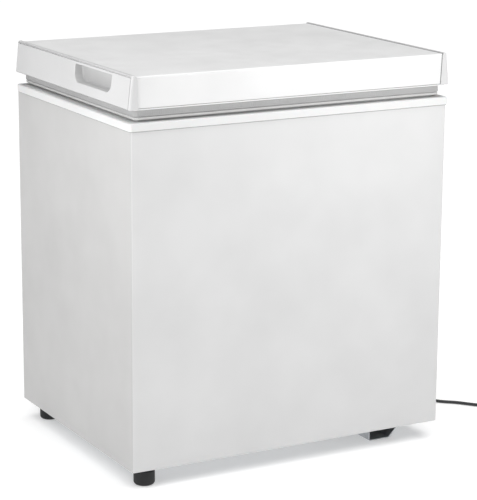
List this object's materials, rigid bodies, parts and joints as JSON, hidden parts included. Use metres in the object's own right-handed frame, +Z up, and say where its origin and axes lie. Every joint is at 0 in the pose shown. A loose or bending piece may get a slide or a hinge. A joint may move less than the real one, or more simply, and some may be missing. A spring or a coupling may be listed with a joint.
{
  "type": "compact chest freezer",
  "caption": "White compact chest freezer: insulated cabinet, rear-hinged lid with hand recesses in its end caps, stepped liner, sliding basket, rear compressor bay and mains lead.",
  "frame": {"origin": "on the floor under the middle of the freezer, the lead left out", "axes": "+Z up, +Y towards the hinges at the back, +X to the right seen from the front"},
  "size_m": [1.0863, 0.6757, 0.845],
  "materials": {
    "white_steel": "satin",
    "zinc_steel": "satin",
    "black_steel": "satin",
    "white_plastic": "satin",
    "black_plastic": "matte",
    "black_rubber": "matte",
    "gasket_vinyl": "matte",
    "liner_sheet": "satin",
    "bare_aluminium": "satin",
    "copper_tube": "satin",
    "foam": "matte",
    "basket_wire": "gloss",
    "cord_vinyl": "satin",
    "plug_brass": "polished"
  },
  "bodies": {
    "cabinet": {"outer_wrap": "white_steel", "back_panel": "zinc_steel", "bottom_panel": "zinc_steel", "compressor_floor_plate": "zinc_steel", "compartment_divider": "zinc_steel", "drain_tube": "white_plastic", "drain_outlet": "white_plastic", "top_collar": "white_plastic", "inner_liner": "liner_sheet", "cabinet_insulation": "foam", "evaporator_tube": "bare_aluminium", "condenser_tube": "copper_tube", "foot_front_left": "black_rubber", "foot_rear_left": "black_rubber", "base_channel": "zinc_steel", "compressor_shell": "black_steel", "compressor_feet": "black_steel", "compressor_grommet_1": "black_rubber", "compressor_grommet_2": "black_rubber", "compressor_grommet_3": "black_rubber", "compressor_grommet_4": "black_rubber", "relay_cover": "black_plastic", "filter_drier": "copper_tube", "suction_tube": "copper_tube", "discharge_tube": "copper_tube", "process_tube": "copper_tube", "capillary_tube": "copper_tube", "rear_cover": "white_plastic", "thermostat_housing": "black_plastic", "side_vent_grille": "white_plastic", "hinge_base_left": "zinc_steel", "hinge_pin_left": "zinc_steel", "hinge_spring_left": "zinc_steel", "hinge_base_right": "zinc_steel", "hinge_pin_right": "zinc_steel", "hinge_spring_right": "zinc_steel", "cord_strain_relief": "cord_vinyl", "power_cord": "cord_vinyl", "cord_coil": "cord_vinyl", "cord_tie": "black_plastic", "cord_tail": "cord_vinyl", "plug_body": "cord_vinyl", "plug_blade_line": "plug_brass", "plug_blade_neutral": "plug_brass", "plug_ground_pin": "plug_brass"},
    "lid": {"lid_top_panel": "white_steel", "lid_end_cap_left": "white_plastic", "lid_end_cap_right": "white_plastic", "lid_inner_liner": "white_plastic", "lid_insulation": "foam", "lid_gasket": "gasket_vinyl", "hinge_leaf_left": "zinc_steel", "hinge_leaf_right": "zinc_steel"},
    "basket": {"basket": "basket_wire"},
    "knob": {"thermostat_knob": "white_plastic"},
    "plug": {"drain_plug": "black_rubber"},
    "cap": {"drain_cap": "white_plastic"}
  },
  "joints": [
    {"name": "lid_hinge", "type": "hinge", "parent": "cabinet", "child": "lid", "pos_m": [0, 0.283, 0.772], "axis": [-1, 0, 0], "range_deg": [0, 75]},
    {"name": "basket_slide", "type": "slide", "parent": "cabinet", "child": "basket", "axis": [-1, 0, 0], "range_m": [0, 0.38]},
    {"name": "knob_turn", "type": "hinge", "parent": "cabinet", "child": "knob", "pos_m": [0.178, 0.275, 0.196], "axis": [0, -1, 0], "range_deg": [-135, 135]},
    {"name": "drain_plug_lift", "type": "slide", "parent": "cabinet", "child": "plug", "axis": [0, 0, 1], "range_m": [0, 0.03]},
    {"name": "drain_cap_pull", "type": "slide", "parent": "cabinet", "child": "cap", "axis": [0, 0, -1], "range_m": [0, 0.015]}
  ]
}
